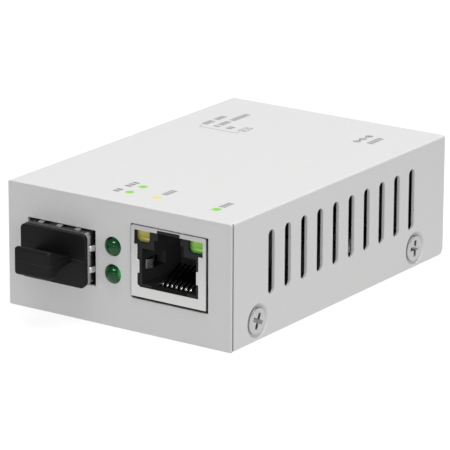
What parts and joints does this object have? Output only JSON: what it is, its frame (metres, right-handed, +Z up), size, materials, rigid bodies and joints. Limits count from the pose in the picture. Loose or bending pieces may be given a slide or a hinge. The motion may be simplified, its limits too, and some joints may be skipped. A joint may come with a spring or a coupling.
{
  "type": "fibre media converter",
  "caption": "Small folded steel box with a capped fibre module bay and a network jack in front, lamps, vents in both sides, and a power jack and switch behind.",
  "frame": {"origin": "middle of the underside, on the surface that the case rests on", "axes": "+X to the right seen from the front, +Y from the front panel to the rear panel, +Z up"},
  "size_m": [0.049, 0.081, 0.0236],
  "materials": {
    "case_paint": "satin light grey powder coat",
    "screw_steel": "zinc plated",
    "cage_steel": "tin plated sheet",
    "spring_steel": "bright spring strip",
    "shield_steel": "bright nickel plated sheet",
    "connector_black": "moulded, slightly satin",
    "plug_black": "fine matte moulded plastic",
    "contact_gold": "gold plated wire",
    "lamp_yellow": "clear tinted",
    "lamp_green": "clear tinted",
    "status_green": "clear tinted",
    "board_green": "solder resist",
    "chip_black": "moulded epoxy",
    "can_silver": "drawn can",
    "switch_red": "moulded",
    "slider_white": "moulded"
  },
  "bodies": {
    "case": {"top_cover": "case_paint", "base_tray": "case_paint", "cover_screws": "screw_steel", "circuit_board": "board_green", "board_post_front": "screw_steel", "board_post_left": "screw_steel", "board_post_right": "screw_steel", "board_post_back": "screw_steel", "board_screws": "screw_steel", "sfp_cage": "cage_steel", "sfp_spring_collar": "spring_steel", "sfp_host_connector": "connector_black", "rj45_shield": "shield_steel", "rj45_housing": "connector_black", "rj45_comb": "connector_black", "rj45_contacts": "contact_gold", "rj45_lamp_left": "lamp_yellow", "rj45_lamp_right": "lamp_green", "status_lamp_upper": "status_green", "status_lamp_lower": "status_green", "lamp_holder": "connector_black", "lamp_leads": "screw_steel", "dc_jack_body": "connector_black", "dc_jack_pin": "screw_steel", "dc_jack_terminals": "screw_steel", "dip_switch_body": "switch_red", "dip_switch_pins": "screw_steel", "controller_chip": "chip_black", "line_transformer": "chip_black", "crystal": "can_silver", "power_inductor": "chip_black", "electrolytic_capacitors": "can_silver", "memory_chip": "chip_black", "regulator": "chip_black"},
    "plug": {"dust_plug": "plug_black"},
    "slider_left": {"dip_slider_left": "slider_white"},
    "slider_right": {"dip_slider_right": "slider_white"}
  },
  "joints": [
    {"name": "plug_pull", "type": "slide", "parent": "case", "child": "plug", "axis": [0, -1, 0], "range_m": [0, 0.025]},
    {"name": "slider_left_lift", "type": "slide", "parent": "case", "child": "slider_left", "axis": [0, 0, 1], "range_m": [0, 0.002]},
    {"name": "slider_right_lift", "type": "slide", "parent": "case", "child": "slider_right", "axis": [0, 0, 1], "range_m": [0, 0.002]}
  ]
}
